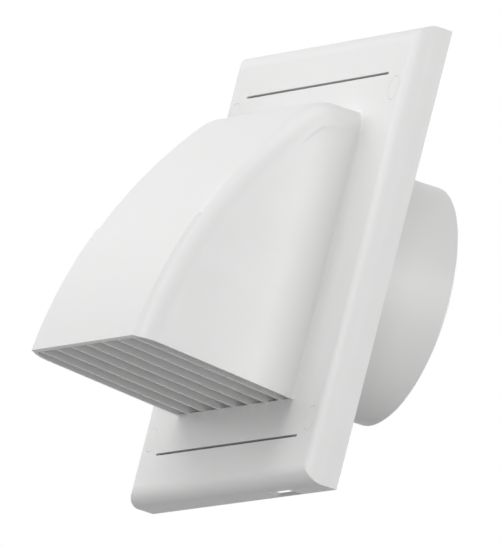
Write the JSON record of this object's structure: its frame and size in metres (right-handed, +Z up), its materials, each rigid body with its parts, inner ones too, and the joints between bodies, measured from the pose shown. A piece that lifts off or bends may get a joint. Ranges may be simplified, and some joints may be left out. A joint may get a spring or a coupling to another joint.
{
  "type": "exterior ventilation grille",
  "caption": "Outside wall vent: a square cover with a deep curved hood, barred underneath, over a frame with a round duct spigot and a hanging backdraft flap.",
  "frame": {"origin": "on the duct's axis in the wall's plane, where the spigot leaves the frame's back face", "axes": "+X to the right seen from in front of the wall, +Y along the spigot into the wall, +Z up"},
  "size_m": [0.19, 0.1292, 0.19],
  "materials": {
    "cover_plastic": "satin moulded, weatherproof",
    "frame_plastic": "satin moulded",
    "flap_plastic": "fine matt",
    "axle_steel": "drawn bright"
  },
  "bodies": {
    "vent": {"front_cover": "cover_plastic", "wall_frame": "frame_plastic", "flap_axle": "axle_steel", "cap_top_left": "cover_plastic", "cap_top_right": "cover_plastic", "cap_bottom_left": "cover_plastic", "cap_bottom_right": "cover_plastic"},
    "flap": {"backdraft_flap": "flap_plastic"}
  },
  "joints": [
    {"name": "flap_hinge", "type": "hinge", "parent": "vent", "child": "flap", "pos_m": [0, -0.00818, 0.0533], "axis": [-1, 0, 0], "range_deg": [0, 40]}
  ]
}
